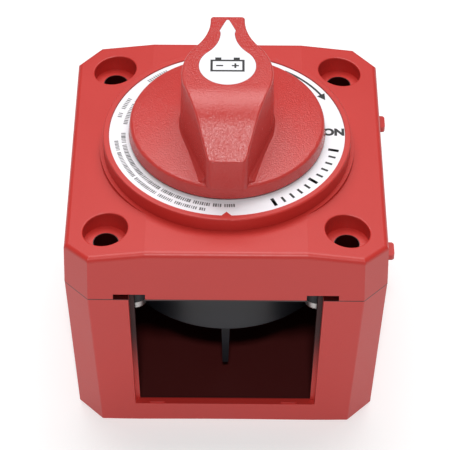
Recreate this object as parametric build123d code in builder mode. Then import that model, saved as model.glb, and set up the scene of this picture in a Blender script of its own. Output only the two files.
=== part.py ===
from build123d import *
import math
import os

os.makedirs("parts", exist_ok=True)

# Single-circuit battery switch, surface mounted, in millimetres with +Z up.
# The origin is on the mounting surface, on the knob's axis. The cable side faces -Y and the
# ganging tabs face +X. The knob is drawn in its OFF position, with its pointer towards +Y.

# Housing outside
side = 68.6                # square side where the cap meets the base
corner_cut = 5.15          # leg of the 45 degree corner cut at that height
base_height = 41.1         # mounting surface to the cap
base_taper = 2.65          # the base is this much narrower at the mounting surface
foot_corner_cut = 5.5
cap_height = 13.14         # base to the cap's flat top
cap_taper = 0.8            # the cap is this much narrower at its top
corner_round = 0.5         # radius of the base's upright edges
foot_bevel = 0.3           # bevel round the mounting face
wall = 2.2                 # side walls of both mouldings
floor_thickness = 2.4
edge_round = 1.2           # radius along the cap's top edge
flat_half_width = 16.9     # the cap is flat this far each side of the middle
shoulder_slope = 0.13      # fall of the cap towards its left and right sides

# Dial on the cap
plateau_radius = 27.7
collar_radius = 26.9
collar_height = 3.46
label_radius = 25.65
label_thickness = 0.2
label_clearance = 2.0      # round the rotor's shaft
label_step = 0.3           # rim of the collar above the label
notch_width = 2.1          # pointer notch moulded on the collar's rim
notch_depth = 1.1
plate_thickness = 3.2      # under the label

# Mounting
hole_pitch = 50.8
hole_radius = 2.6
counterbore_radius = 4.75
counterbore_depth = 4.0
counterbore_extra = 1.0    # measured down from the sloping top
counterbore_round = 0.25
post_radius = 4.4          # base posts round the mounting holes
cap_post_radius = 5.9

# Cable opening of the base
opening_sill = 5.76
opening_half_bottom = 19.97
opening_half_top = 20.6
rail_width = 2.2
rail_overlap = 1.0         # rails stand this far into the opening
rail_depth = 1.7
tongue_height = 3.0        # rails rise into the cap by this much
web_length = 3.5           # webs that hold the snap-out panel
web_places = (-15.2, 14.1)
panel_gap = 0.5
sill_nub = 0.4             # what is left of a snapped web
lip_half_width = 17.0      # lip of the cap between two notches
lip_notch_width = 6.8
lip_notch_height = 1.5
lip_drop = 0.3

# Ganging tabs and their slots
tab_place = 20.25
tab_width = 3.9
tab_reach = 1.8
tab_thickness = 1.45
tab_round = 0.7

# Switch body (drum) below the cap
drum_radius = 25.3
drum_drop = 19.3           # cap's lower edge to the drum's underside
drum_wall = 2.4
drum_floor = 3.2
drum_edge_round = 0.5
gasket_thickness = 0.8
ceiling_thickness = 4.24   # cap's flat top to the gasket's seat
ear_radius = 2.9           # ears for the drum screws
ear_thickness = 4.0
ear_rise = 6.0             # drum's underside to its ears
blade_gap = 3.6            # blade to the floor
blade_half_length = 21.0
blade_root = 2.1
blade_tip = 1.3

# Fasteners
drum_screw_radius = 1.6
drum_screw_length = 18.0
drum_screw_head_radius = 2.75
drum_screw_head_height = 2.4
drum_screw_slot = 3.4
stud_radius = 4.76         # 3/8 inch stud
stud_chamfer = 0.6
stud_gap = 2.8             # stud's end to the floor
stud_head_radius = 6.9
stud_head_height = 3.0
nut_across_flats = 14.3
nut_height = 6.0
washer_gap = 1.45          # washer to the blade
washer_thickness = 1.6
lock_washer_step = 1.8     # lock washer inside the flat one's edge
lock_washer_thickness = 2.3
lock_washer_split = 0.8

# Contacts
seal_thickness = 0.8
seal_step = 0.4            # seal inside the stud head's edge
tip_radius = 4.2
tip_thickness = 1.0
contact_gap = 2.5
bridge_step = 1.8          # bridge inside the carrier's edge
bridge_width = 12.0
bridge_thickness = 3.0
bridge_round = 2.0
carrier_gap = 2.1          # carrier to the drum's bore
carrier_thickness = 4.0
cheek_thickness = 1.6      # cheeks on each side of the bridge
cheek_length = 28.0
cheek_height = 2.5
guide_step = 6.3           # guide posts inside the drum's bore, along Y
guide_radius = 2.0
guide_rise = 2.0           # posts above the carrier
follower_place = 11.5
follower_radius = 1.6
spring_radius = 4.0
spring_wire = 0.5
spring_turns = 4
rivet_radius = 1.5
rivet_head_radius = 2.6
rivet_head_height = 0.9

# Knob
knob_radius = 21.3
knob_top_radius = 20.95
knob_gap = 0.9             # knob above the label
skirt_height = 2.9
skirt_round = 0.8
dome_rise = 1.5
handle_top = 76.4
handle_draft = 0.45        # the handle is this much wider at its foot, each side
pointer_half = 3.7
pointer_end = 16.5
waist_end = 10.8
hip_half = 11.4
hip_place = 0.5
nose_half = 3.8
nose_end = 20.7
waist_round = 14.0
hip_round = 14.3
nose_round = 1.2
pointer_round = 0.7
bend_start = 6.3           # where the handle's top starts to fall towards its nose
bend_radius = 14.0
bend_angle = 40.0
foot_flare = 2.4           # cove round the handle's foot: width and height
foot_rise = 3.0
foot_steps = 5
foot_sink = 0.05           # the cove's upper end runs this far into the handle
handle_round = 0.45
grip_side = 10.0           # height of the handle's sides at the nose
core_height = 9.0          # hollows under the handle reach this high
insert_radius = 6.0
insert_thickness = 0.3
insert_centre = 0.2
insert_neck = 1.5
insert_neck_end = 10.9
insert_barb = 1.72
insert_barb_end = 11.65
insert_tip_end = 15.9
insert_tip_round = 0.4
knob_wall = 2.4
core_radius = 7.4          # solid core of the knob round its drive socket

# Rotor
rotor_radius = 7.9
rotor_flange_radius = 14.0
rotor_flange_height = 3.1
thrust_thickness = 0.8
drive_radius = 5.5
drive_flats = 8.0
drive_length = 6.0
knob_screw_radius = 1.95
knob_screw_length = 14.0
knob_screw_head_radius = 3.5
knob_screw_head_height = 2.6
knob_screw_slot = 3.8
knob_washer_thickness = 0.6
knob_web = 2.2             # knob wall that the screw clamps
oring_section = 0.9
ramp_inner = 9.0
ramp_outer = 14.0
ramp_root = 4.0            # flange to the ramps' shallow end
ramp_run_on = 12.0         # degrees of ramp beyond each end of the turn
knob_turn = 90.0

# Clearances
fit = 0.1                  # still parts that drop into each other
running = 0.09             # radial, turning and sliding parts
same_size = 0.05           # edges within this of a size are taken to have it
contact_clearance = 0.05   # contact tips at the end of their travel
cam_clearance = 0.2

# Sizes that follow from those
foot_side = side - base_taper
cap_top_side = side - cap_taper
drum_bore = drum_radius - drum_wall
ear_place = (drum_radius + ear_radius + fit) / math.sqrt(2)
stud_place = (drum_bore + blade_root) / 2
washer_radius = stud_place - blade_root / 2 - washer_gap
lock_washer_radius = washer_radius - lock_washer_step
carrier_radius = drum_bore - carrier_gap
bridge_length = 2 * (carrier_radius - bridge_step)
guide_place = drum_bore - guide_step
tongue_top = base_height + tongue_height
drum_bottom = base_height - drum_drop
ear_bottom = drum_bottom + ear_rise
cap_top = base_height + cap_height
rim_top = cap_top + collar_height
label_top = rim_top - label_step
label_seat = label_top - label_thickness
chamber_top = label_seat - plate_thickness
drum_seat = cap_top - ceiling_thickness
drum_top = drum_seat - gasket_thickness
drum_inside = drum_bottom + drum_floor
head_bottom = drum_inside + seal_thickness
head_top = head_bottom + stud_head_height
fixed_tip_top = head_top + tip_thickness
moving_tip_bottom = fixed_tip_top + contact_gap
bridge_bottom = moving_tip_bottom + tip_thickness
bridge_top = bridge_bottom + bridge_thickness
carrier_top = bridge_top + carrier_thickness
carrier_travel = contact_gap - contact_clearance
flange_top = chamber_top - thrust_thickness - fit
flange_bottom = flange_top - rotor_flange_height
ramp_shallow = flange_bottom - ramp_root
follower_top = ramp_shallow - cam_clearance
knob_bottom = label_top + knob_gap
skirt_top = knob_bottom + skirt_height
drive_top = knob_bottom + drive_length
screw_seat = drive_top + fit + knob_web
wide = 2 * side            # longer than anything it cuts


def cut_corner_square(height, width, cut, inset=0.0):
    """Square with cut corners at a height, moved inwards by inset."""
    with BuildSketch(Plane.XY.offset(height)) as outline:
        Rectangle(width, width)
        chamfer(outline.vertices(), cut)
        if inset:
            offset(amount=-inset, kind=Kind.INTERSECTION)
    return outline.sketch


def base_section(height, inset=0.0):
    """Outline of the base at any height, from its draft."""
    share = height / base_height
    width = foot_side + (side - foot_side) * share
    cut = foot_corner_cut + (corner_cut - foot_corner_cut) * share
    return cut_corner_square(height, width, cut, inset)


def cap_section(height, inset=0.0):
    """Outline of the cap at any height, from its draft."""
    share = (height - base_height) / cap_height
    width = side + (cap_top_side - side) * share
    return cut_corner_square(height, width, corner_cut, inset)


def cap_face(height):
    """Distance from the axis to the inside of the cap's wall."""
    return (side - cap_taper * (height - base_height) / cap_height) / 2 - wall


def opening_half(height):
    """Half width of the cable opening, which narrows downwards."""
    share = (height - opening_sill) / (base_height - opening_sill)
    return opening_half_bottom + (opening_half_top - opening_half_bottom) * share


def opening_outline(distance, inset, sill=opening_sill, head=base_height):
    """Cable opening on an upright plane, this far in front of the axis, its sides moved inwards."""
    with BuildSketch(Plane.XZ.offset(distance)) as outline:
        with BuildLine():
            Polyline(
                (inset - opening_half(sill), sill),
                (opening_half(sill) - inset, sill),
                (opening_half(head) - inset, head),
                (inset - opening_half(head), head),
                close=True,
            )
        make_face()
    return outline.sketch


def washer(height, outer, inner, thickness):
    """Flat washer at each terminal, upwards from a height."""
    with BuildPart() as ring:
        with BuildSketch(Plane.XY.offset(height)):
            with GridLocations(2 * stud_place, 1, 2, 1):
                Circle(outer)
                Circle(inner, mode=Mode.SUBTRACT)
        extrude(amount=thickness)
    return ring.part


# Base cover: a drafted box, open at the top, with a post at each mounting hole
with BuildPart() as base_cavity:
    loft([base_section(floor_thickness, wall), base_section(base_height, wall)])
    with BuildSketch(Plane.XY.offset(floor_thickness)):
        with GridLocations(hole_pitch, hole_pitch, 2, 2):
            Circle(post_radius)
        with PolarLocations(math.hypot(hole_pitch, hole_pitch) / 2 + post_radius, 4, 45):
            Rectangle(2 * post_radius, post_radius)
    extrude(amount=base_height, mode=Mode.SUBTRACT)

with BuildPart() as base_cover:
    loft([base_section(0), base_section(base_height)])
    fillet(base_cover.edges().filter_by(lambda edge: edge.bounding_box().size.Z > wall), corner_round)
    chamfer(base_cover.faces().sort_by(Axis.Z)[0].edges(), foot_bevel)
    add(base_cavity.part, mode=Mode.SUBTRACT)
    # rails beside each cable opening, inside the wall, and their tongues into the cap
    rail_face = cap_face(tongue_top) - fit
    for front in (rail_face, rail_depth - rail_face):
        with BuildSketch(Plane.XZ.offset(front)):
            add(opening_outline(front, rail_overlap - rail_width, floor_thickness, tongue_top))
            add(opening_outline(front, rail_overlap, floor_thickness, tongue_top), mode=Mode.SUBTRACT)
        extrude(amount=-rail_depth)
    # the front opening, cut right out, and narrower between the rails
    extrude(opening_outline(rail_face, 0), amount=side, mode=Mode.SUBTRACT)
    extrude(opening_outline(rail_face - 2 * wall, rail_overlap), amount=side, mode=Mode.SUBTRACT)
    # stubs of the snapped webs on the front sill
    with BuildSketch(Plane.XY.offset(opening_sill)):
        with Locations(*[(place, sill_nub - foot_side / 2) for place in web_places]):
            SlotOverall(web_length, 2 * sill_nub)
    extrude(amount=sill_nub)
    # the rear panel is still in place: a slit round it, crossed by webs
    with BuildSketch(Plane.XZ.offset(-foot_side / 2 - wall)):
        add(opening_outline(-foot_side / 2 - wall, 0))
        add(
            opening_outline(
                -foot_side / 2 - wall, panel_gap, opening_sill + panel_gap, base_height - panel_gap
            ),
            mode=Mode.SUBTRACT,
        )
        with Locations(*[(place, opening_sill + panel_gap / 2) for place in web_places]):
            Rectangle(web_length, 2 * panel_gap, mode=Mode.SUBTRACT)
    extrude(amount=2 * wall, mode=Mode.SUBTRACT)
    with Locations(Plane.XY):
        with GridLocations(hole_pitch, hole_pitch, 2, 2):
            Hole(hole_radius)

base_cover.part.label = "base_cover"


# Upper housing: the cap that carries the dial, with its posts and its ganging tabs
with BuildPart() as cap_cavity:
    loft([cap_section(base_height - lip_drop, wall), cap_section(drum_seat, wall)])
    with BuildSketch(Plane.XY.offset(base_height)):
        with GridLocations(hole_pitch, hole_pitch, 2, 2):
            Circle(cap_post_radius)
        with PolarLocations(math.hypot(hole_pitch, hole_pitch) / 2 + cap_post_radius, 4, 45):
            Rectangle(2 * cap_post_radius, cap_post_radius)
        with GridLocations(2 * ear_place, 2 * ear_place, 2, 2):
            Circle(ear_radius)
    extrude(amount=cap_height, mode=Mode.SUBTRACT)

with BuildPart() as upper_housing:
    loft([cap_section(base_height), cap_section(cap_top)])
    reach = side / 2 - flat_half_width
    with BuildSketch(Plane.XZ.offset(-side)):
        with BuildLine():
            Polyline(
                (flat_half_width, cap_top),
                (flat_half_width + reach, cap_top - shoulder_slope * reach),
                (flat_half_width + reach, cap_top + wall),
                (flat_half_width, cap_top + wall),
                close=True,
            )
        make_face()
        mirror(about=Plane.YZ)
    extrude(amount=wide, mode=Mode.SUBTRACT)
    above = upper_housing.edges().filter_by_position(Axis.Z, cap_top - cap_height / 3, cap_top)
    brink = above.filter_by(lambda edge: abs(abs(edge.center().X) - flat_half_width) > same_size
                            or edge.bounding_box().size.X > same_size)
    fillet(brink, edge_round)
    # dial: a round plateau, and the collar that stands on it
    with BuildSketch(Plane.XY.offset(drum_seat)):
        Circle(plateau_radius)
    extrude(amount=ceiling_thickness)
    with BuildSketch(Plane.XY.offset(drum_seat)):
        Circle(collar_radius)
    extrude(amount=ceiling_thickness + collar_height)
    rim = upper_housing.faces().sort_by(Axis.Z)[-1]
    fillet(rim.edges(), label_step)
    with BuildSketch(Plane.XY.offset(label_seat)):
        Circle(label_radius)
        with BuildLine():
            Polyline(
                (-notch_width / 2, -label_radius),
                (notch_width / 2, -label_radius),
                (0, notch_depth - label_radius),
                close=True,
            )
        make_face(mode=Mode.SUBTRACT)
    extrude(amount=collar_height, mode=Mode.SUBTRACT)
    add(cap_cavity.part, mode=Mode.SUBTRACT)
    # posts for the drum screws, down to the drum's ears
    with BuildSketch(Plane.XY.offset(ear_bottom + ear_thickness)):
        with GridLocations(2 * ear_place, 2 * ear_place, 2, 2):
            Circle(ear_radius)
    extrude(amount=drum_seat - ear_bottom - ear_thickness)
    # round chamber for the rotor, and the bore of its shaft
    with BuildSketch(Plane.XY.offset(base_height)):
        Circle(drum_bore)
    extrude(amount=chamber_top - base_height, mode=Mode.SUBTRACT)
    with Locations((0, 0, chamber_top)):
        Cylinder(rotor_radius + running, 2 * plate_thickness, mode=Mode.SUBTRACT,
                 align=(Align.CENTER, Align.CENTER, Align.MIN))
    # mounting holes
    with Locations(Plane.XY.offset(cap_top)):
        with GridLocations(hole_pitch, hole_pitch, 2, 2):
            CounterBoreHole(hole_radius, counterbore_radius, counterbore_depth + counterbore_extra)
    rims = upper_housing.edges().filter_by_position(Axis.Z, cap_top - cap_height / 3, cap_top).filter_by(
        lambda edge: edge.geom_type != GeomType.LINE
        and abs(edge.bounding_box().size.X - 2 * counterbore_radius) < same_size
    )
    fillet(rims, counterbore_round)
    with Locations(Plane.XY.offset(ear_bottom)):
        with GridLocations(2 * ear_place, 2 * ear_place, 2, 2):
            Cylinder(drum_screw_radius + fit, drum_screw_length + 1, mode=Mode.SUBTRACT,
                     align=(Align.CENTER, Align.CENTER, Align.MIN))
    # notches of the lower edge, with a lip between them, at the front and the back
    notch_place = lip_half_width + lip_notch_width / 2
    with Locations((0, 0, base_height)):
        with GridLocations(2 * notch_place, side, 2, 2):
            Box(lip_notch_width, 2 * wall, 2 * lip_notch_height, mode=Mode.SUBTRACT)
        with GridLocations(1, side - wall, 1, 2):
            Box(2 * lip_half_width, wall, 2 * lip_drop)
    # ganging tabs on one side, and the slots that take a neighbour's tabs on the other
    with BuildSketch(Plane.XY.offset(base_height)):
        with GridLocations(1, 2 * tab_place, 1, 2):
            with Locations((side / 2 + tab_reach / 2 - wall / 4, 0)):
                RectangleRounded(tab_reach + wall / 2, tab_width, tab_round)
    extrude(amount=tab_thickness)
    with Locations((-side / 2, 0, base_height)):
        with GridLocations(1, 2 * tab_place, 1, 2):
            Box(2 * wall + fit, tab_width + 2 * fit, 2 * (tab_thickness + fit), mode=Mode.SUBTRACT)
upper_housing.part.label = "upper_housing"

with BuildPart() as ring_label:
    with BuildSketch(Plane.XY.offset(label_seat)):
        Circle(label_radius - fit)
        Circle(rotor_radius + label_clearance, mode=Mode.SUBTRACT)
        with BuildLine():
            Polyline(
                (-notch_width / 2 - 2 * fit, -label_radius),
                (notch_width / 2 + 2 * fit, -label_radius),
                (0, notch_depth + 2 * fit - label_radius),
                close=True,
            )
        make_face(mode=Mode.SUBTRACT)
    extrude(amount=label_thickness)
ring_label.part.label = "ring_label"


# Switch body: a round cup under the cap, with the barrier between the two terminals
with BuildPart() as drum_body:
    with BuildSketch(Plane.XY.offset(drum_bottom)):
        Circle(drum_radius)
    extrude(amount=drum_top - drum_bottom)
    fillet(drum_body.faces().sort_by(Axis.Z)[0].edges(), drum_edge_round)
    with BuildSketch(Plane.XY.offset(ear_bottom)):
        with GridLocations(2 * ear_place, 2 * ear_place, 2, 2):
            Circle(ear_radius)
        with PolarLocations(drum_radius, 4, 45):
            Rectangle(2 * ear_radius, 2 * ear_radius)
    extrude(amount=ear_thickness)
    with BuildSketch(Plane.XY.offset(drum_inside)):
        Circle(drum_bore)
    extrude(amount=drum_top - drum_inside, mode=Mode.SUBTRACT)
    with BuildSketch(Plane.XZ.offset(-blade_half_length)):
        with BuildLine():
            Polyline(
                (-blade_root / 2, drum_bottom + blade_root / 2),
                (blade_root / 2, drum_bottom + blade_root / 2),
                (blade_tip / 2, floor_thickness + blade_gap),
                (-blade_tip / 2, floor_thickness + blade_gap),
                close=True,
            )
        make_face()
    extrude(amount=2 * blade_half_length)
    # guide posts for the contact carrier
    with BuildSketch(Plane.XY.offset(drum_inside)):
        with GridLocations(1, 2 * guide_place, 1, 2):
            Circle(guide_radius)
    extrude(amount=carrier_top + guide_rise - drum_inside)
    with Locations(Plane.XY.offset(drum_bottom)):
        with GridLocations(2 * stud_place, 1, 2, 1):
            Cylinder(stud_radius + fit, 3 * drum_floor, mode=Mode.SUBTRACT)
        with GridLocations(2 * ear_place, 2 * ear_place, 2, 2):
            Cylinder(drum_screw_radius + fit, 4 * ear_bottom, mode=Mode.SUBTRACT)
drum_body.part.label = "drum_body"

with BuildPart() as drum_gasket:
    with BuildSketch(Plane.XY.offset(drum_top)):
        Circle(drum_radius)
        Circle(drum_bore, mode=Mode.SUBTRACT)
    extrude(amount=gasket_thickness)
drum_gasket.part.label = "drum_gasket"


def pan_screw(radius, length, head_radius, head_height, slot):
    """Pan head screw hanging down from the origin, which is under its head, with a cross slot."""
    with BuildPart() as screw:
        with BuildSketch(Plane.XY):
            Circle(head_radius)
        extrude(amount=head_height)
        fillet(screw.faces().sort_by(Axis.Z)[-1].edges(), head_height / 3)
        with BuildSketch(Plane.XY.offset(head_height)):
            Rectangle(slot, slot / 4)
            Rectangle(slot / 4, slot)
        extrude(amount=-head_height / 2, mode=Mode.SUBTRACT)
        with BuildSketch(Plane.XY):
            Circle(radius)
        extrude(amount=-length)
        chamfer(screw.faces().sort_by(Axis.Z)[0].edges(), radius / 3)
    return screw.part


with BuildPart() as drum_screws:
    screw = pan_screw(
        drum_screw_radius, drum_screw_length, drum_screw_head_radius, drum_screw_head_height,
        drum_screw_slot,
    )
    with GridLocations(2 * ear_place, 2 * ear_place, 2, 2):
        add(Pos(0, 0, ear_bottom) * Rot(180, 0, 0) * screw)
drum_screws.part.label = "drum_screws"


# Terminals: two headed studs through the drum's floor, sealed under their heads
with BuildPart() as terminal_studs:
    stud_tip = floor_thickness + stud_gap
    washer_bottom = drum_bottom - washer_thickness
    lock_bottom = washer_bottom - lock_washer_thickness
    nut_bottom = lock_bottom - nut_height
    with GridLocations(2 * stud_place, 1, 2, 1):
        with Locations((0, 0, stud_tip)):
            Cylinder(stud_radius, head_bottom - stud_tip,
                     align=(Align.CENTER, Align.CENTER, Align.MIN))
        with Locations((0, 0, head_bottom)):
            Cylinder(stud_head_radius, stud_head_height,
                     align=(Align.CENTER, Align.CENTER, Align.MIN))
    chamfer(terminal_studs.faces().sort_by(Axis.Z)[:2].edges(), stud_chamfer)
terminal_studs.part.label = "terminal_studs"

with BuildPart() as stud_seals:
    add(washer(drum_inside, stud_head_radius - seal_step, stud_radius + fit, seal_thickness))
stud_seals.part.label = "stud_seals"

with BuildPart() as terminal_washers:
    add(washer(washer_bottom, washer_radius, stud_radius + fit, washer_thickness))
terminal_washers.part.label = "terminal_washers"

with BuildPart() as lock_washers:
    with BuildSketch(Plane.XY.offset(lock_bottom)):
        with GridLocations(2 * stud_place, 1, 2, 1):
            Circle(lock_washer_radius)
            Circle(stud_radius + fit, mode=Mode.SUBTRACT)
            with Locations((0, -lock_washer_radius)):
                Rectangle(lock_washer_split, lock_washer_radius, mode=Mode.SUBTRACT)
    extrude(amount=lock_washer_thickness)
lock_washers.part.label = "lock_washers"

with BuildPart() as terminal_nuts:
    with BuildSketch(Plane.XY.offset(nut_bottom)):
        with GridLocations(2 * stud_place, 1, 2, 1):
            RegularPolygon(nut_across_flats / 2, 6, major_radius=False)
            Circle(stud_radius + contact_clearance, mode=Mode.SUBTRACT)
    extrude(amount=nut_height)
terminal_nuts.part.label = "terminal_nuts"

with BuildPart() as fixed_tips:
    with BuildSketch(Plane.XY.offset(head_top)):
        with GridLocations(2 * stud_place, 1, 2, 1):
            Circle(tip_radius)
    extrude(amount=tip_thickness)
    fillet(fixed_tips.faces().group_by(Axis.Z)[-1].edges(), tip_thickness / 3)
fixed_tips.part.label = "fixed_tips"


# Moving contact: a copper bar with two silver tips, riveted under the carrier
with BuildPart() as moving_tips:
    with BuildSketch(Plane.XY.offset(moving_tip_bottom)):
        with GridLocations(2 * stud_place, 1, 2, 1):
            Circle(tip_radius)
    extrude(amount=tip_thickness)
    fillet(moving_tips.faces().group_by(Axis.Z)[0].edges(), tip_thickness / 3)
moving_tips.part.label = "moving_tips"

with BuildPart() as contact_bridge:
    with BuildSketch(Plane.XY.offset(bridge_bottom)):
        RectangleRounded(bridge_length, bridge_width, bridge_round)
        Circle(rivet_radius + fit, mode=Mode.SUBTRACT)
    extrude(amount=bridge_thickness)
contact_bridge.part.label = "contact_bridge"

with BuildPart() as contact_carrier:
    with BuildSketch(Plane.XY.offset(bridge_top)):
        Circle(carrier_radius)
        Circle(rivet_radius + fit, mode=Mode.SUBTRACT)
        with GridLocations(1, 2 * guide_place, 1, 2):
            Circle(guide_radius + running, mode=Mode.SUBTRACT)
    extrude(amount=carrier_thickness)
    # cheeks that keep the bar from turning
    with BuildSketch(Plane.XY.offset(bridge_top)):
        with GridLocations(1, bridge_width + 2 * fit + cheek_thickness, 1, 2):
            Rectangle(cheek_length, cheek_thickness)
    extrude(amount=-cheek_height)
    # followers under the rotor's ramps
    with BuildSketch(Plane.XY.offset(carrier_top)):
        with GridLocations(2 * follower_place, 1, 2, 1):
            Circle(follower_radius)
    extrude(amount=follower_top - carrier_top)
    fillet(contact_carrier.faces().group_by(Axis.Z)[-1].edges(), follower_radius / 2)
contact_carrier.part.label = "contact_carrier"

with BuildPart() as bridge_rivet:
    with Locations((0, 0, bridge_bottom - rivet_head_height)):
        Cylinder(rivet_head_radius, rivet_head_height, align=(Align.CENTER, Align.CENTER, Align.MIN))
    with Locations((0, 0, bridge_bottom)):
        Cylinder(rivet_radius, carrier_top - bridge_bottom,
                 align=(Align.CENTER, Align.CENTER, Align.MIN))
    with Locations((0, 0, carrier_top)):
        Cylinder(rivet_head_radius, rivet_head_height, align=(Align.CENTER, Align.CENTER, Align.MIN))
    fillet(bridge_rivet.faces().sort_by(Axis.Z)[-1].edges(), rivet_head_height / 2)
bridge_rivet.part.label = "bridge_rivet"

spring_low = drum_inside + spring_wire + fit
spring_high = bridge_bottom - spring_wire - fit
with BuildPart() as return_spring:
    with BuildLine():
        coil = Helix((spring_high - spring_low) / spring_turns, spring_high - spring_low,
                     spring_radius, center=(0, 0, spring_low))
    with BuildSketch(Plane(coil @ 0, z_dir=coil % 0)):
        Circle(spring_wire)
    sweep(path=coil, is_frenet=True)
return_spring.part.label = "return_spring"


# Rotor: shaft through the cap, thrust flange and the two ramps that push the carrier down
with BuildPart() as ramp:
    with BuildSketch(Plane.XY.offset(flange_bottom)):
        with BuildLine():
            inner = CenterArc((0, 0), ramp_inner, -ramp_run_on, knob_turn + 2 * ramp_run_on)
            outer = CenterArc((0, 0), ramp_outer, -ramp_run_on, knob_turn + 2 * ramp_run_on)
            Line(inner @ 0, outer @ 0)
            Line(inner @ 1, outer @ 1)
        make_face()
    extrude(amount=-(ramp_root + 2 * carrier_travel))
    fall = carrier_travel / (2 * follower_place * math.sin(math.radians(knob_turn / 2)))
    middle = math.radians(knob_turn / 2)
    tilt = Plane(
        origin=(0, 0, ramp_shallow - carrier_travel / 2),
        x_dir=(math.cos(middle), math.sin(middle), 0),
        z_dir=(-math.sin(middle) * fall, math.cos(middle) * fall, 1),
    )
    split(bisect_by=tilt, keep=Keep.TOP)

with BuildPart() as rotor_shaft:
    with Locations((0, 0, flange_bottom)):
        Cylinder(rotor_flange_radius, rotor_flange_height, align=(Align.CENTER, Align.CENTER, Align.MIN))
        Cylinder(rotor_radius, knob_bottom - flange_bottom, align=(Align.CENTER, Align.CENTER, Align.MIN))
    add(ramp.part)
    add(Rot(0, 0, 180) * ramp.part)
    with BuildSketch(Plane.XY.offset(knob_bottom)):
        Circle(drive_radius)
        Rectangle(drive_flats, 2 * drive_radius, mode=Mode.INTERSECT)
    extrude(amount=drive_length)
    oring_height = (chamber_top + label_seat) / 2
    with BuildSketch(Plane.XZ):
        with Locations((rotor_radius, oring_height)):
            Rectangle(4 * oring_section + 2 * fit, 2 * oring_section + 2 * fit)
    revolve(axis=Axis.Z, mode=Mode.SUBTRACT)
    with Locations((0, 0, screw_seat + knob_washer_thickness)):
        Cylinder(knob_screw_radius + contact_clearance, 2 * (knob_screw_length + 1), mode=Mode.SUBTRACT)
rotor_shaft.part.label = "rotor_shaft"

with BuildPart() as shaft_oring:
    with BuildSketch(Plane.XZ):
        with Locations((rotor_radius - oring_section, oring_height)):
            Circle(oring_section)
    revolve(axis=Axis.Z)
shaft_oring.part.label = "shaft_oring"

with BuildPart() as thrust_washer:
    with BuildSketch(Plane.XY.offset(chamber_top - thrust_thickness)):
        Circle(rotor_flange_radius - 1)
        Circle(rotor_radius + 4 * fit, mode=Mode.SUBTRACT)
    extrude(amount=thrust_thickness)
thrust_washer.part.label = "thrust_washer"


def handle_outline(height, margin=0.0):
    """Plan of the knob's handle: pointer at +Y, waist, hips and a narrow nose at -Y."""
    corners = [
        (pointer_half, pointer_end, pointer_round),
        (pointer_half, waist_end, waist_round),
        (hip_half, hip_place, hip_round),
        (nose_half, -nose_end, nose_round),
    ]
    mirrored = [(-x, y, r) for x, y, r in reversed(corners)]
    with BuildSketch(Plane.XY.offset(height)) as outline:
        with BuildLine():
            FilletPolyline(
                *[(x, y) for x, y, r in corners + mirrored],
                radius=[r for x, y, r in corners + mirrored],
                close=True,
            )
        make_face()
        if margin:
            offset(amount=margin)
    return outline.sketch


def insert_outline(height, margin=0.0):
    """Bottle-shaped insert: a disc whose neck flares up into an arrow head."""
    flare = ((insert_neck_end - insert_centre) ** 2 + insert_neck**2 - insert_radius**2) / (
        2 * (insert_radius - insert_neck)
    )
    reach = insert_radius / (insert_radius + flare)
    touch = (reach * (insert_neck + flare), insert_centre + reach * (insert_neck_end - insert_centre))
    half = math.radians(22.5)
    bulge = (flare - flare * math.cos(half) + insert_neck, insert_neck_end - flare * math.sin(half))
    with BuildSketch(Plane.XY.offset(height)) as outline:
        with BuildLine():
            tip = Line((0, insert_tip_end), (insert_barb, insert_barb_end))
            barb = Line(tip @ 1, (insert_neck, insert_neck_end))
            neck = ThreePointArc(barb @ 1, bulge, touch)
            ThreePointArc(neck @ 1, (insert_radius, insert_centre), (0, insert_centre - insert_radius))
            mirror(about=Plane.YZ)
        make_face()
        fillet(outline.vertices().sort_by(Axis.Y)[-1], insert_tip_round)
        if margin:
            offset(amount=margin)
    return outline.sketch


# Knob: a low disc and the handle across it, cored out underneath round a solid drive socket
with BuildPart() as handle_foot:
    foot_bottom = skirt_top - skirt_round / 2
    rings = []
    for step in range(foot_steps + 1):
        lean = math.pi / 2 * step / foot_steps
        rise = foot_rise * (1 - math.cos(lean))
        draft = handle_draft * (1 - rise / (handle_top - foot_bottom))
        spread = foot_flare * (1 - math.sin(lean)) - foot_sink
        rings.append(handle_outline(foot_bottom + rise, draft + spread))
    for lower, upper in zip(rings, rings[1:]):
        loft([lower, upper])
    with Locations((0, 0, skirt_top)):
        Cylinder(knob_top_radius - skirt_round, 4 * foot_rise, mode=Mode.INTERSECT)

with BuildPart() as knob_core:
    with BuildSketch(Plane.XY.offset(knob_bottom)):
        Circle(core_radius)
    extrude(amount=core_height)

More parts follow.
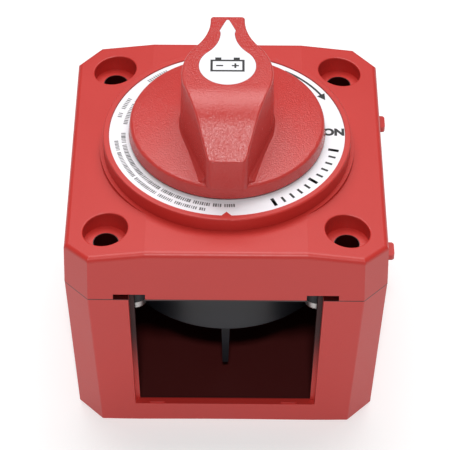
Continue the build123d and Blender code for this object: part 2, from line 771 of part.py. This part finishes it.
with BuildPart() as knob:
    with BuildSketch(Plane.XZ) as disc_profile:
        with BuildLine():
            Polyline(
                (0, knob_bottom),
                (knob_radius, knob_bottom),
                (knob_top_radius, skirt_top),
                (core_radius, skirt_top + dome_rise),
                (0, skirt_top + dome_rise),
                close=True,
            )
        make_face()
        fillet(disc_profile.vertices().sort_by(Axis.X)[-2], skirt_round)
    revolve(axis=Axis.Z)
    add(handle_foot.part)
    loft([handle_outline(foot_bottom, handle_draft), handle_outline(handle_top)])
    # the handle's top runs level, bends over and falls straight to the nose
    bend = math.radians(bend_angle)
    bend_end = (
        -bend_start - bend_radius * math.sin(bend),
        handle_top - bend_radius * (1 - math.cos(bend)),
    )
    beyond = (bend_end[0] - nose_end, bend_end[1] - nose_end * math.tan(bend))
    with BuildSketch(Plane.YZ.offset(-side / 2)):
        with BuildLine():
            level = Line((-bend_start, handle_top + knob_wall), (-bend_start, handle_top))
            TangentArc(level @ 1, bend_end, tangent=(-1, 0))
            Polyline(bend_end, beyond, (beyond[0], handle_top + knob_wall), level @ 0)
        make_face()
    extrude(amount=side, mode=Mode.SUBTRACT)
    upper_edges = knob.edges().filter_by(lambda edge: edge.bounding_box().min.Z > handle_top - grip_side)
    creases = (-bend_start, bend_end[0])
    brink = upper_edges.filter_by(
        lambda edge: edge.geom_type != GeomType.LINE
        or min(abs(edge.center().Y - crease) for crease in creases) > 0.1
    )
    fillet(brink, handle_round)
    # hollows under the disc and under both ends of the handle
    with BuildSketch(Plane.XY.offset(knob_bottom)):
        Circle(knob_top_radius - knob_wall)
        Circle(core_radius + knob_wall, mode=Mode.SUBTRACT)
    extrude(amount=skirt_height - knob_wall / 2, mode=Mode.SUBTRACT)
    loft([handle_outline(knob_bottom, -knob_wall), handle_outline(core_height + knob_bottom, -knob_wall)],
         mode=Mode.SUBTRACT)
    add(knob_core.part)
    # double-D socket for the rotor, and the hole of its screw, which the insert hides
    with BuildSketch(Plane.XY.offset(knob_bottom)):
        Circle(drive_radius + fit)
        Rectangle(drive_flats + 2 * fit, 2 * drive_radius + 2 * fit, mode=Mode.INTERSECT)
    extrude(amount=drive_length + fit, mode=Mode.SUBTRACT)
    with BuildSketch(Plane.XY.offset(knob_bottom)):
        Circle(knob_screw_radius + fit)
    extrude(amount=handle_top - knob_bottom, mode=Mode.SUBTRACT)
    with BuildSketch(Plane.XY.offset(screw_seat)):
        Circle(knob_screw_head_radius + 4 * fit)
    extrude(amount=handle_top - screw_seat, mode=Mode.SUBTRACT)
    extrude(insert_outline(handle_top - insert_thickness, fit / 2), amount=1, mode=Mode.SUBTRACT)
knob.part.label = "knob"

with BuildPart() as knob_insert:
    extrude(insert_outline(handle_top - insert_thickness), amount=insert_thickness)
knob_insert.part.label = "knob_insert"

with BuildPart() as knob_washer:
    with BuildSketch(Plane.XY.offset(screw_seat)):
        Circle(knob_screw_head_radius + 2 * fit)
        Circle(knob_screw_radius + fit, mode=Mode.SUBTRACT)
    extrude(amount=knob_washer_thickness)
knob_washer.part.label = "knob_washer"

with BuildPart() as knob_screw:
    screw = pan_screw(
        knob_screw_radius, knob_screw_length, knob_screw_head_radius, knob_screw_head_height,
        knob_screw_slot,
    )
    add(Pos(0, 0, screw_seat + knob_washer_thickness) * screw)
knob_screw.part.label = "knob_screw"


pieces = (
    base_cover, upper_housing, ring_label, drum_body, drum_gasket, drum_screws, terminal_studs,
    stud_seals, terminal_washers, lock_washers, terminal_nuts, fixed_tips, moving_tips,
    contact_bridge, contact_carrier, bridge_rivet, return_spring, rotor_shaft, shaft_oring,
    thrust_washer, knob, knob_insert, knob_washer, knob_screw,
)
for piece in pieces:
    export_step(piece.part, f"parts/{piece.part.label}.step")
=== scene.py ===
import bpy
import math
from mathutils import Matrix, Vector


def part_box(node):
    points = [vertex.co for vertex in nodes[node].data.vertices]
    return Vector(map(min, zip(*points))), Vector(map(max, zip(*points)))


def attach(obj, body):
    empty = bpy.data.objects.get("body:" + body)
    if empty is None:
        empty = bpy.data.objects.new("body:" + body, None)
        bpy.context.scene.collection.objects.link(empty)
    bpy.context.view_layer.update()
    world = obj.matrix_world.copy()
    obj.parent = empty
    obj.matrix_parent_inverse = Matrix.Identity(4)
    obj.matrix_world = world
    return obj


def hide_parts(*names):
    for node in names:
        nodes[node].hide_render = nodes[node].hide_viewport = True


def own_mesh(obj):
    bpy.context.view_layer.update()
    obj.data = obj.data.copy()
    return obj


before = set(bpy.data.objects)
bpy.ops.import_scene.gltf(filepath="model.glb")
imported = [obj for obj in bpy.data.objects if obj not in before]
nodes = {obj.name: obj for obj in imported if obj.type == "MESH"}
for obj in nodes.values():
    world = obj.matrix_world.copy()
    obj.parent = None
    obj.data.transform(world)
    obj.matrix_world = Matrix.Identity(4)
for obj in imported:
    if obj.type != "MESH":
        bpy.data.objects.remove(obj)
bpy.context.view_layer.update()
MM = 0.001

# ---------------------------------------------------------------------------------------------
# Base cover: a drafted red box that stands on the panel, moulded in glass-filled polyester. The
# front cable opening has been broken out; the inside is not polished, and painted shade darkens it.


class Value:
    """A shader socket in plain maths: an expression on it adds Math nodes."""

    def __init__(self, finish, socket):
        self.finish = finish
        self.socket = socket

    def maths(self, operation, first, second):
        return self.finish.add("ShaderNodeMath", {"operation": operation}, {0: first, 1: second})["Value"]

    def __add__(self, other):
        return self.maths("ADD", self, other)

    def __sub__(self, other):
        return self.maths("SUBTRACT", self, other)

    def __rsub__(self, other):
        return self.maths("SUBTRACT", other, self)

    def __mul__(self, other):
        return self.maths("MULTIPLY", self, other)

    def __truediv__(self, other):
        return self.maths("DIVIDE", self, other)

    def over(self, limit, blur):
        """0 below a limit and 1 above it, with a soft edge this wide."""
        ramp = {"interpolation_type": "SMOOTHSTEP"}
        ends = {"Value": self, "From Min": limit - blur / 2, "From Max": limit + blur / 2}
        return self.finish.add("ShaderNodeMapRange", ramp, ends)["Result"]

    __radd__ = __add__
    __rmul__ = __mul__


class Finish:
    """One material: a Principled shader with fixed sockets, and maths that feeds the rest."""

    def __init__(self, name, **fixed):
        self.material = bpy.data.materials.new(name)
        self.material.use_nodes = True
        self.tree = self.material.node_tree
        self.tree.nodes.clear()
        self.shader = self.tree.nodes.new("ShaderNodeBsdfPrincipled")
        for socket, value in fixed.items():
            self.shader.inputs[socket.replace("_", " ")].default_value = value
        output = self.tree.nodes.new("ShaderNodeOutputMaterial")
        self.tree.links.new(self.shader.outputs["BSDF"], output.inputs["Surface"])
        self.place = self.add("ShaderNodeTexCoord", {}, {})["Object"]

    def add(self, kind, settings, sockets):
        """Adds a node with its settings, and the values or links of its sockets."""
        node = self.tree.nodes.new(kind)
        for key, value in settings.items():
            setattr(node, key, value)
        for key, value in sockets.items():
            if isinstance(value, Value):
                self.tree.links.new(value.socket, node.inputs[key])
            else:
                node.inputs[key].default_value = value
        return {socket.name: Value(self, socket) for socket in node.outputs if socket.enabled}

    def feed(self, socket, value):
        self.tree.links.new(value.socket, self.shader.inputs[socket])

    def xyz(self):
        """Object coordinates X, Y and Z, in metres."""
        split = self.add("ShaderNodeSeparateXYZ", {}, {"Vector": self.place})
        return split["X"], split["Y"], split["Z"]

    def noise(self, size, detail=2.0, roughness=0.5):
        """Noise from 0 to 1, in blotches about this many metres wide."""
        return self.add("ShaderNodeTexNoise", {}, {
            "Vector": self.place, "Scale": 1 / size, "Detail": detail, "Roughness": roughness,
        })["Fac"]

    def blend(self, share, first, second):
        """Colour between two, by a share."""
        pair = {0: share, 6: first, 7: second}
        for key in (6, 7):
            if isinstance(pair[key], tuple):
                pair[key] = (*pair[key], 1)
        return self.add("ShaderNodeMix", {"data_type": "RGBA"}, pair)["Result"]

    def relief(self, height, distance, strength=1.0):
        """Bumps this many metres high where height runs from 0 to 1."""
        bump = self.add("ShaderNodeBump", {}, {
            "Strength": strength, "Distance": distance, "Height": height,
        })
        self.feed("Normal", bump["Normal"])


def moulding(name, colour, deep, roughness, grain_size, grain_height, **fixed):
    """Moulded plastic: eroded grain, faint flow clouds and a slightly uneven shine."""
    finish = Finish(name, **fixed)
    clouds = finish.noise(0.014, 3)
    grain = finish.noise(grain_size, 2, 0.6)
    body = finish.blend(clouds * 0.5 + grain * 0.5, deep, colour)
    finish.shine = roughness + (clouds - 0.5) * 0.08 + (grain - 0.5) * 0.12
    finish.feed("Roughness", finish.shine)
    finish.relief(grain, grain_height)
    return finish, body


def coat(material, *names):
    """Gives these CAD nodes a finish."""
    for name in names:
        for slot in nodes[name].material_slots:
            slot.material = material


red = (0.57, 0.034, 0.027)
red_deep = (0.49, 0.026, 0.020)
# near-black red painted where shade falls: inside the base and in the mounting holes
red_painted_shade = (0.030, 0.0010, 0.0008)
hole_place = 25.4 * MM      # mounting holes, from the middle
hole_edge = 7.6 * MM * MM   # their radius squared, with a little more
hole_blur = 0.6 * MM * MM
parting = 41.1 * MM         # joint of the base and the cap
shade_blur = 0.6 * MM
line_blur = 0.1 * MM


def screw_holes(finish):
    """1 inside the four mounting holes and 0 elsewhere."""
    x, y, z = finish.xyz()
    across = x.maths("ABSOLUTE", x, 0) - hole_place
    along = y.maths("ABSOLUTE", y, 0) - hole_place
    return 1 - (across * across + along * along).over(hole_edge, hole_blur)


base, base_body = moulding("base_red", red, red_deep, 0.44, 0.00040, 0.000025, IOR=1.5)
x, y, z = base.xyz()
across, along = x.maths("ABSOLUTE", x, 0), y.maths("ABSOLUTE", y, 0)
# the walls lean outwards, so the limits of the inside grow with height
wall_limit = z * 0.0322 + 31.275 * MM
corner_limit = z * 0.073 + 58.3 * MM
within = (
    (wall_limit - across).over(0, shade_blur)
    * (wall_limit - along).over(0, shade_blur)
    * (corner_limit - across - along).over(0, shade_blur)
    * z.over(2.2 * MM, shade_blur)
)
# painted shade: the inside and the mounting holes are coloured near-black red; the inside is also rougher,
# as it is not polished
painted_shade_and_rough = within.maths("MAXIMUM", within, screw_holes(base))
base.feed("Roughness", base.shine + painted_shade_and_rough * 0.15)
joint_line = z.over(parting - 0.15 * MM, line_blur)
dark = painted_shade_and_rough.maths("MAXIMUM", painted_shade_and_rough, joint_line)
base.feed("Base Color", base.blend(dark, base_body, red_painted_shade))
coat(base.material, "base_cover")

# ---------------------------------------------------------------------------------------------
# Upper housing: the red cap with the dial's collar, moulded in the same polyester. It drops on
# the base over four tongues, and the mounting screws clamp the two together.

cap, cap_body = moulding("cap_red", red, red_deep, 0.40, 0.00034, 0.000022, IOR=1.5)
x, y, z = cap.xyz()
# painted shade: the mounting holes are coloured near-black red; the thin band below the parting line is the
# dark joint
dark = screw_holes(cap)
dark = dark.maths("MAXIMUM", dark, 1 - z.over(parting + 0.1 * MM, line_blur))
cap.feed("Base Color", cap.blend(dark, cap_body, red_painted_shade))
coat(cap.material, "upper_housing")

# ---------------------------------------------------------------------------------------------
# Ring label: a white satin film on the collar's recess, glued down. Its print is black ink: the
# switch positions, a scale, a turning arrow and rows of small marks.

film, film_body = moulding(
    "film_white", (0.86, 0.86, 0.89), (0.82, 0.82, 0.86), 0.36, 0.0006, 0.000002
)
film.feed("Base Color", film_body)
coat(film.material, "ring_label", "knob_insert")


def ink(name, shade):
    """Screen-printed ink: nearly matt, with pinholes and uneven cover."""
    finish = Finish(name, IOR=1.45)
    cover = finish.noise(0.00025, 2)
    thin = (shade * 2.4, shade * 2.4, shade * 2.5)
    finish.feed("Base Color", finish.blend(cover, (shade, shade, shade), thin))
    finish.feed("Roughness", 0.42 + cover * 0.2)
    return finish.material


black_ink = ink("black_ink", 0.012)
grey_ink = ink("grey_ink", 0.10)
label_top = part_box("ring_label")[1][2]
ink_lift = 0.02 * MM


def printed(mesh, name, material, body):
    """Puts a flat print into the scene as a piece of a body."""
    piece = bpy.data.objects.new(name, mesh)
    bpy.context.scene.collection.objects.link(piece)
    mesh.materials.clear()
    mesh.materials.append(material)
    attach(piece, body)
    return piece


def row_tree():
    """Marks along an arc, each a small bar whose length along or across the arc is scattered."""
    tree = bpy.data.node_groups.new("row_of_marks", "GeometryNodeTree")
    wanted = (
        ("Radius", "NodeSocketFloat", 0.02), ("Start", "NodeSocketFloat", 0.0),
        ("Sweep", "NodeSocketFloat", 1.0), ("Count", "NodeSocketInt", 10),
        ("Along", "NodeSocketFloat", 0.0005), ("Across", "NodeSocketFloat", 0.001),
        ("Shortest", "NodeSocketFloat", 1.0), ("Kept", "NodeSocketFloat", 1.0),
        ("Seed", "NodeSocketInt", 1), ("Height", "NodeSocketFloat", 0.0),
        ("Ink", "NodeSocketMaterial", None),
    )
    keys = {}
    for name, kind, default in wanted:
        socket = tree.interface.new_socket(name, in_out="INPUT", socket_type=kind)
        if default is not None:
            socket.default_value = default
        keys[name] = socket.identifier
    tree.interface.new_socket("Geometry", in_out="OUTPUT", socket_type="NodeSocketGeometry")
    inputs = tree.nodes.new("NodeGroupInput").outputs
    output = tree.nodes.new("NodeGroupOutput").inputs["Geometry"]

    def node(kind, links, **settings):
        made = tree.nodes.new(kind)
        for key, value in settings.items():
            setattr(made, key, value)
        for key, value in links.items():
            if isinstance(value, bpy.types.NodeSocket):
                tree.links.new(value, made.inputs[key])
            else:
                made.inputs[key].default_value = value
        return made.outputs

    points = node("GeometryNodeMeshLine", {"Count": inputs["Count"]})["Mesh"]
    index = node("GeometryNodeInputIndex", {})["Index"]
    last = node("ShaderNodeMath", {0: inputs["Count"], 1: 1.0}, operation="SUBTRACT")["Value"]
    share = node("ShaderNodeMath", {0: index, 1: last}, operation="DIVIDE")["Value"]
    arc = {0: share, 1: inputs["Sweep"], 2: inputs["Start"]}
    angle = node("ShaderNodeMath", arc, operation="MULTIPLY_ADD")["Value"]
    cosine = node("ShaderNodeMath", {0: angle}, operation="COSINE")["Value"]
    sine = node("ShaderNodeMath", {0: angle}, operation="SINE")["Value"]
    ray = node("ShaderNodeCombineXYZ", {"X": cosine, "Y": sine})["Vector"]
    rim = node("ShaderNodeVectorMath", {0: ray, "Scale": inputs["Radius"]}, operation="SCALE")["Vector"]
    lift = node("ShaderNodeCombineXYZ", {"Z": inputs["Height"]})["Vector"]
    spot = node("ShaderNodeVectorMath", {0: rim, 1: lift}, operation="ADD")["Vector"]
    placed = node("GeometryNodeSetPosition", {"Geometry": points, "Position": spot})["Geometry"]
    kept = node("FunctionNodeRandomValue", {"Probability": inputs["Kept"], "Seed": inputs["Seed"]},
                data_type="BOOLEAN")[3]
    bar = node("GeometryNodeMeshGrid", {
        "Size X": inputs["Across"], "Size Y": inputs["Along"], "Vertices X": 4, "Vertices Y": 4,
    })["Mesh"]
    turn = node("ShaderNodeCombineXYZ", {"Z": angle})["Vector"]
    stretch = node("FunctionNodeRandomValue", {
        2: inputs["Shortest"], 3: 1.0, "Seed": inputs["Seed"],
    }, data_type="FLOAT")[1]
    size = node("ShaderNodeCombineXYZ", {"X": 1.0, "Y": stretch, "Z": 1.0})["Vector"]
    marks = node("GeometryNodeInstanceOnPoints", {
        "Points": placed, "Selection": kept, "Instance": bar, "Rotation": turn, "Scale": size,
    })["Instances"]
    solid = node("GeometryNodeRealizeInstances", {"Geometry": marks})["Geometry"]
    inked = node("GeometryNodeSetMaterial", {"Geometry": solid, "Material": inputs["Ink"]})["Geometry"]
    tree.links.new(inked, output)
    return tree, keys


marks_tree, marks_keys = row_tree()


def row_of_marks(name, material, **values):
    """A printed row on the label: angles in degrees and sizes in millimetres."""
    holder = bpy.data.objects.new(name, bpy.data.meshes.new(name))
    bpy.context.scene.collection.objects.link(holder)
    modifier = holder.modifiers.new("marks", "NODES")
    modifier.node_group = marks_tree
    values["Height"] = (label_top + ink_lift) / MM
    for key, value in values.items():
        if key in ("Start", "Sweep"):
            value = math.radians(value)
        if key in ("Radius", "Along", "Across", "Height"):
            value = value * MM
        modifier[marks_keys[key]] = value
    modifier[marks_keys["Ink"]] = material
    graph = bpy.context.evaluated_depsgraph_get()
    mesh = bpy.data.meshes.new_from_object(holder.evaluated_get(graph))
    bpy.data.objects.remove(holder)
    return printed(mesh, name, material, "case")


# small print, as rows of grey bars
row_of_marks("print_outer_row", grey_ink, Radius=24.05, Start=187, Sweep=72, Count=66, Along=0.38,
             Across=0.85, Shortest=0.45, Kept=0.88, Seed=4)
row_of_marks("print_inner_row", grey_ink, Radius=22.45, Start=181, Sweep=93, Count=78, Along=0.40,
             Across=0.95, Shortest=0.45, Kept=0.9, Seed=9)
row_of_marks("print_left_outer", grey_ink, Radius=24.0, Start=152, Sweep=16, Count=13, Along=0.36,
             Across=0.9, Shortest=0.5, Kept=0.95, Seed=2)
row_of_marks("print_left_inner", grey_ink, Radius=22.3, Start=151, Sweep=22, Count=17, Along=0.36,
             Across=0.9, Shortest=0.5, Kept=0.95, Seed=7)
row_of_marks("print_rear_left", grey_ink, Radius=24.2, Start=124, Sweep=12, Count=10, Along=0.36,
             Across=0.9, Shortest=0.5, Kept=0.95, Seed=5)
# scale between the cable side and ON, with longer strokes at its ends and middle
row_of_marks("print_scale", black_ink, Radius=23.7, Start=-65, Sweep=52, Count=11, Along=0.55,
             Across=1.6, Seed=1)
row_of_marks("print_scale_ends", black_ink, Radius=23.5, Start=-65, Sweep=52, Count=3, Along=0.75,
             Across=2.3, Seed=1)


def flat_mesh(name, shapes, height):
    """Flat mesh of convex outlines given in millimetres, at a height in metres."""
    corners, faces = [], []
    for outline in shapes:
        faces.append(tuple(range(len(corners), len(corners) + len(outline))))
        corners += [(px * MM, py * MM, height) for px, py in outline]
    mesh = bpy.data.meshes.new(name)
    mesh.from_pydata(corners, [], faces)
    return mesh


def arc_band(radius, width, start, end, steps):
    """Quads along an arc, angles in degrees."""
    rim = []
    for step in range(steps + 1):
        turn = math.radians(start + (end - start) * step / steps)
        sides = (radius - width / 2, radius + width / 2)
        rim.append([(r * math.cos(turn), r * math.sin(turn)) for r in sides])
    return [[rim[i][0], rim[i][1], rim[i + 1][1], rim[i + 1][0]] for i in range(steps)]


def arrow_head(radius, angle, length, half):
    """Triangle that points clockwise at an angle of an arc."""
    turn, tip = math.radians(angle), math.radians(angle) - length / radius
    return [[
        ((radius - half) * math.cos(turn), (radius - half) * math.sin(turn)),
        (radius * math.cos(tip), radius * math.sin(tip)),
        ((radius + half) * math.cos(turn), (radius + half) * math.sin(turn)),
    ]]


arrow_radius = 24.2
arrow = arc_band(arrow_radius, 0.5, 58, 31, 24) + arrow_head(arrow_radius, 31.4, 2.0, 1.0)
arrow_mesh = flat_mesh("print_arrow", arrow, label_top + ink_lift)
printed(arrow_mesh, "print_arrow", black_ink, "case")


def word(text, size, boldness, centre, height):
    """Mesh of a word in millimetres, centred on a point."""
    curve = bpy.data.curves.new(text, "FONT")
    curve.body = text
    curve.size = size * MM
    curve.offset = boldness * MM
    curve.align_x = "CENTER"
    curve.align_y = "CENTER"
    holder = bpy.data.objects.new(text, curve)
    bpy.context.scene.collection.objects.link(holder)
    graph = bpy.context.evaluated_depsgraph_get()
    mesh = bpy.data.meshes.new_from_object(holder.evaluated_get(graph))
    bpy.data.objects.remove(holder)
    mesh.transform(Matrix.Translation((centre[0] * MM, centre[1] * MM, height)))
    return mesh


on_mesh = word("ON", 2.9, 0.16, (23.15, 0.35), label_top + ink_lift)
off_mesh = word("OFF", 2.4, 0.12, (0, 23.2), label_top + ink_lift)
printed(on_mesh, "print_on", black_ink, "case")
printed(off_mesh, "print_off", black_ink, "case")

# ---------------------------------------------------------------------------------------------
# Drum: the switch body under the cap, moulded in black glass-filled polyester and screwed to the
# cap over a rubber gasket. Its blade keeps the two terminals apart.

resin, resin_body = moulding(
    "black_resin", (0.014, 0.016, 0.021), (0.008, 0.009, 0.013), 0.44, 0.0003, 0.00002
)
resin.feed("Base Color", resin_body)
coat(resin.material, "drum_body", "contact_carrier", "rotor_shaft")
rubber, rubber_body = moulding(
    "nitrile_rubber", (0.022, 0.022, 0.023), (0.012, 0.012, 0.013), 0.66, 0.0002, 0.00001
)
rubber.feed("Base Color", rubber_body)
coat(rubber.material, "drum_gasket", "stud_seals", "shaft_oring")


def metal(name, colour, dark, roughness, pitch=0.0, axes=(), radius=0.0):
    """Worn metal with turning marks. Threads of a pitch run round upright axes, inside a radius."""
    finish = Finish(name, Metallic=1.0)
    stretched = finish.add("ShaderNodeMapping", {}, {
        "Vector": finish.place, "Scale": (9000, 9000, 900),
    })["Vector"]
    turning = finish.add("ShaderNodeTexNoise", {}, {
        "Vector": stretched, "Scale": 1.0, "Detail": 3.0,
    })["Fac"]
    stain = finish.noise(0.004, 3)
    finish.feed("Base Color", finish.blend(stain, dark, colour))
    finish.feed("Roughness", roughness + (turning - 0.5) * 0.2 + (stain - 0.5) * 0.12)
    if not pitch:
        finish.relief(turning, 0.000004)
        return finish.material
    x, y, z = finish.xyz()
    threads = turning * 0.02
    for centre_x, centre_y, low, high in axes:
        across, along = x - centre_x, y - centre_y
        near = 1 - (across * across + along * along).over(radius * radius, radius * radius * 0.05)
        helix = along.maths("ARCTAN2", along, across) / (2 * math.pi) + z / pitch
        wave = helix.maths("PINGPONG", helix, 0.5) * 2
        threads = threads + wave * near * z.over(low, 0.0002) * (high - z).over(0, 0.0002)
    finish.relief(threads, pitch * 0.5)
    return finish.material


steel = metal("stainless_steel", (0.62, 0.61, 0.60), (0.48, 0.47, 0.46), 0.28)
coat(steel, "drum_screws", "terminal_washers", "lock_washers", "terminal_nuts", "knob_washer", "knob_screw")

# ---------------------------------------------------------------------------------------------
# Terminals: two tin-plated copper studs with washers and nuts of stainless steel. Their threads
# are rolled 16 to the inch, and silver contact tips are brazed on their heads.

stud_low, stud_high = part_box("terminal_studs")
head_radius = 6.9 * MM
head_and_seal = 5 * MM
stud_x = (stud_high[0] - stud_low[0]) / 2 - head_radius
thread_low, thread_high = stud_low[2] + 0.6 * MM, stud_high[2] - head_and_seal
stud_axes = [(side * stud_x, 0, thread_low, thread_high) for side in (-1, 1)]
plate = metal(
    "tin_plate", (0.74, 0.73, 0.70), (0.60, 0.59, 0.56), 0.30, 1.5875 * MM, stud_axes, 5.2 * MM
)
coat(plate, "terminal_studs")
silver = metal("silver_alloy", (0.86, 0.85, 0.82), (0.72, 0.71, 0.68), 0.24)
coat(silver, "fixed_tips", "moving_tips")

# ---------------------------------------------------------------------------------------------
# Contact carrier: copper bar riveted under a black carrier, lifted by a coil spring of stainless
# wire. A nylon washer takes the rotor's thrust.

coat(metal("bare_copper", (0.80, 0.40, 0.26), (0.58, 0.26, 0.16), 0.30), "contact_bridge")
coat(metal("turned_brass", (0.78, 0.60, 0.30), (0.60, 0.44, 0.20), 0.30), "bridge_rivet")
# the coil is a piece of its own, with its own copy of the spring's mesh
wire = metal("spring_wire", (0.55, 0.55, 0.56), (0.40, 0.40, 0.41), 0.26)
coil = printed(nodes["return_spring"].data.copy(), "spring_coil", wire, "case")
coil.matrix_world = nodes["return_spring"].matrix_world
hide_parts("return_spring")
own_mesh(coil)
nylon, nylon_body = moulding(
    "natural_nylon", (0.78, 0.77, 0.72), (0.70, 0.69, 0.63), 0.38, 0.0003, 0.000006
)
nylon.feed("Base Color", nylon_body)
coat(nylon.material, "thrust_washer")

# ---------------------------------------------------------------------------------------------
# Knob: red polyester with a coarse spark-eroded grain that glitters under the lights. A screw
# holds it on the rotor's double-D drive, under the insert.

knob, knob_body = moulding(
    "knob_red", (0.56, 0.045, 0.040), (0.46, 0.034, 0.028), 0.24, 0.00036, 0.00010, IOR=1.5
)
knob.feed("Base Color", knob_body)
coat(knob.material, "knob")

# ---------------------------------------------------------------------------------------------
# Insert: white film snapped into the handle's top, printed with a battery sign in black ink.

insert_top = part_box("knob_insert")[1][2]


def bar(x0, y0, x1, y1):
    """Outline of an upright rectangle."""
    return [(x0, y0), (x1, y0), (x1, y1), (x0, y1)]


# the case's outline, its two poles, and the minus and plus signs
battery = [
    bar(-3.6, -1.9, 3.6, -1.4), bar(-3.6, 1.4, 3.6, 1.9),
    bar(-3.6, -1.4, -3.1, 1.4), bar(3.1, -1.4, 3.6, 1.4),
    bar(-2.6, 1.9, -1.3, 2.6), bar(1.3, 1.9, 2.6, 2.6),
    bar(-2.4, -0.2, -0.9, 0.2),
    bar(0.9, -0.2, 2.4, 0.2), bar(1.45, 0.2, 1.85, 0.75), bar(1.45, -0.75, 1.85, -0.2),
]
sign_rise = 0.2
sign = [[(px, py + sign_rise) for px, py in outline] for outline in battery]
battery_mesh = flat_mesh("print_battery", sign, insert_top + ink_lift)
printed(battery_mesh, "print_battery", black_ink, "rotor")

# ---------------------------------------------------------------------------------------------
# Studio: a white table that glows a little, so that it stays white in the shadow, one big soft
# light overhead, a small one in front for the knob's glitter, and a camera over the cable side.

reach = 4.0
floor_mesh = bpy.data.meshes.new("table")
floor_mesh.from_pydata(
    [(-reach, -reach, 0), (reach, -reach, 0), (reach, reach, 0), (-reach, reach, 0)],
    [],
    [(0, 1, 2, 3)],
)
floor = bpy.data.objects.new("table", floor_mesh)
bpy.context.scene.collection.objects.link(floor)
paper = Finish("paper", Roughness=0.9, Emission_Color=(1, 1, 1, 1), Emission_Strength=0.45)
paper.feed("Base Color", paper.blend(paper.noise(0.02, 2), (0.59, 0.59, 0.59), (0.61, 0.61, 0.61)))
floor_mesh.materials.append(paper.material)

world = bpy.data.worlds.new("studio")
bpy.context.scene.world = world
world.use_nodes = True
world.node_tree.nodes["Background"].inputs["Color"].default_value = (1, 1, 1, 1)
world.node_tree.nodes["Background"].inputs["Strength"].default_value = 0.16


def softbox(name, place, width, height, watts):
    """Rectangular light that faces the dial."""
    lamp = bpy.data.lights.new(name, "AREA")
    lamp.shape = "RECTANGLE"
    lamp.size = width
    lamp.size_y = height
    lamp.energy = watts
    holder = bpy.data.objects.new(name, lamp)
    bpy.context.scene.collection.objects.link(holder)
    holder.location = place
    holder.rotation_euler = (Vector((0, 0, 0.05)) - Vector(place)).to_track_quat("-Z", "Y").to_euler()


softbox("overhead", (0, 0.36, 1.0), 0.9, 0.6, 9.2)
softbox("glitter", (0, -0.56, 0.85), 0.10, 0.08, 4.0)

lens = bpy.data.cameras.new("view")
lens.sensor_width = 36
lens.lens = 162.5
lens.clip_start = 0.01
camera = bpy.data.objects.new("view", lens)
bpy.context.scene.collection.objects.link(camera)
tilt = math.radians(45.21)
distance = 0.4604
target = Vector((-0.0003, 0, 0.02905))
camera.matrix_world = (
    Matrix.Translation(target + distance * Vector((0, -math.cos(tilt), math.sin(tilt))))
    @ Matrix.Rotation(math.pi / 2 - tilt, 4, "X")
    @ Matrix.Rotation(math.radians(0.394), 4, "Z")
)
bpy.context.scene.camera = camera
bpy.context.scene.view_settings.view_transform = "Standard"
